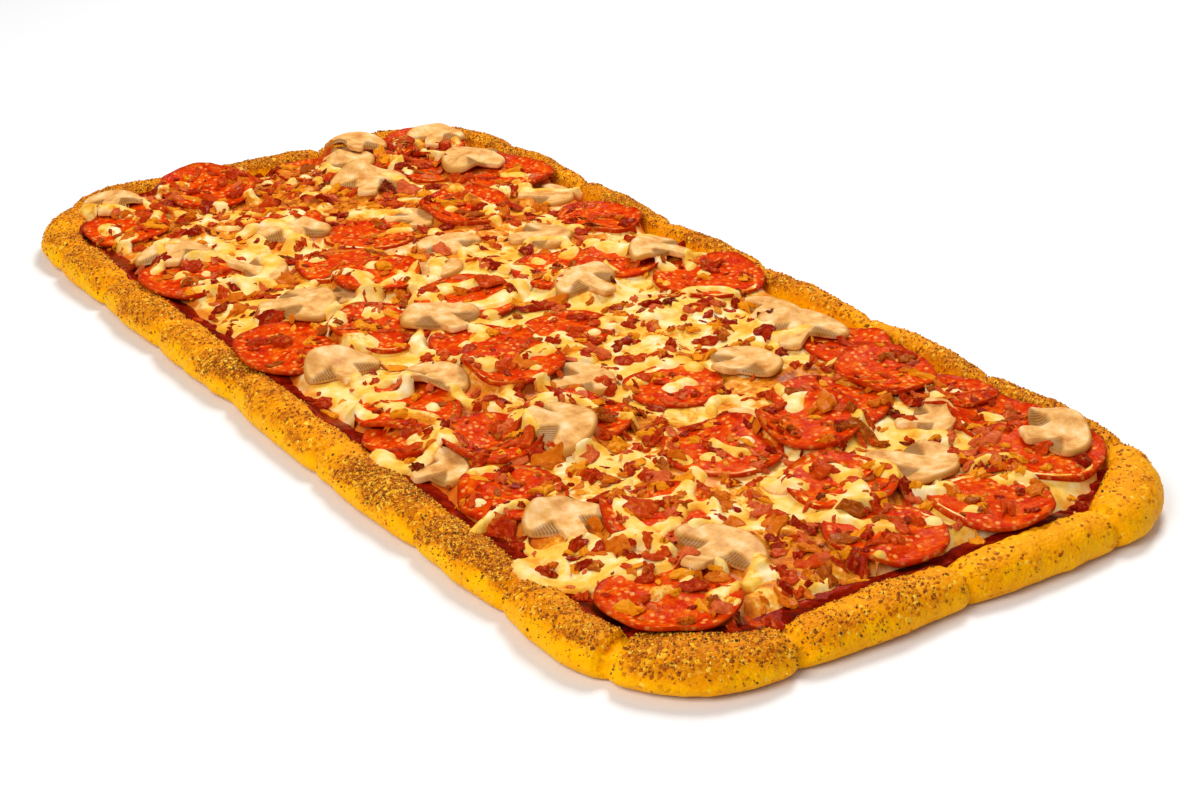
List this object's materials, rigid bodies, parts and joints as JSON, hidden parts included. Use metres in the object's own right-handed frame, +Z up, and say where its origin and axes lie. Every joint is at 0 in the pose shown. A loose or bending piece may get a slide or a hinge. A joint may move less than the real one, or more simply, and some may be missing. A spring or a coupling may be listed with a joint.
{
  "type": "canadian pizza",
  "caption": "Whole rectangular pan pizza with a puffy golden rim, tomato sauce, melted cheese, pepperoni slices, mushroom slices and chopped bacon.",
  "frame": {"origin": "middle of the box on the underside that rests on a table", "axes": "+X along the long side, +Y along the short side, +Z up out of the toppings"},
  "size_m": [0.5612, 0.2728, 0.03],
  "materials": {
    "baked_crust": "golden baked dough, oiled and dusted with cornmeal, browned in patches",
    "tomato_sauce": "wet cooked tomato sauce, dark at the edge",
    "melted_cheese": "melted mozzarella with golden brown patches and an oily sheen",
    "pepperoni": "cured sausage, fine fat specks, oily gloss, darker rim",
    "mushroom": "baked mushroom, tan cut face, browner skin and dark gills"
  },
  "bodies": {
    "root": {"crust": "baked_crust", "tomato_sauce": "tomato_sauce", "cheese": "melted_cheese", "pepperoni_01": "pepperoni", "pepperoni_02": "pepperoni", "pepperoni_03": "pepperoni", "pepperoni_04": "pepperoni", "pepperoni_05": "pepperoni", "pepperoni_06": "pepperoni", "pepperoni_07": "pepperoni", "pepperoni_08": "pepperoni", "pepperoni_09": "pepperoni", "pepperoni_10": "pepperoni", "pepperoni_11": "pepperoni", "pepperoni_12": "pepperoni", "pepperoni_13": "pepperoni", "pepperoni_14": "pepperoni", "pepperoni_15": "pepperoni", "pepperoni_16": "pepperoni", "pepperoni_17": "pepperoni", "pepperoni_18": "pepperoni", "pepperoni_19": "pepperoni", "pepperoni_20": "pepperoni", "pepperoni_21": "pepperoni", "pepperoni_22": "pepperoni", "pepperoni_23": "pepperoni", "pepperoni_24": "pepperoni", "pepperoni_25": "pepperoni", "pepperoni_26": "pepperoni", "pepperoni_27": "pepperoni", "pepperoni_28": "pepperoni", "pepperoni_29": "pepperoni", "pepperoni_30": "pepperoni", "pepperoni_31": "pepperoni", "pepperoni_32": "pepperoni", "pepperoni_33": "pepperoni", "mushroom_01": "mushroom", "mushroom_02": "mushroom", "mushroom_03": "mushroom", "mushroom_04": "mushroom", "mushroom_05": "mushroom", "mushroom_06": "mushroom", "mushroom_07": "mushroom", "mushroom_08": "mushroom", "mushroom_09": "mushroom", "mushroom_10": "mushroom", "mushroom_11": "mushroom", "mushroom_12": "mushroom", "mushroom_13": "mushroom", "mushroom_14": "mushroom", "mushroom_15": "mushroom", "mushroom_16": "mushroom", "mushroom_17": "mushroom", "mushroom_18": "mushroom", "mushroom_19": "mushroom", "mushroom_20": "mushroom", "mushroom_21": "mushroom", "mushroom_22": "mushroom", "mushroom_23": "mushroom", "mushroom_24": "mushroom"}
  },
  "joints": []
}
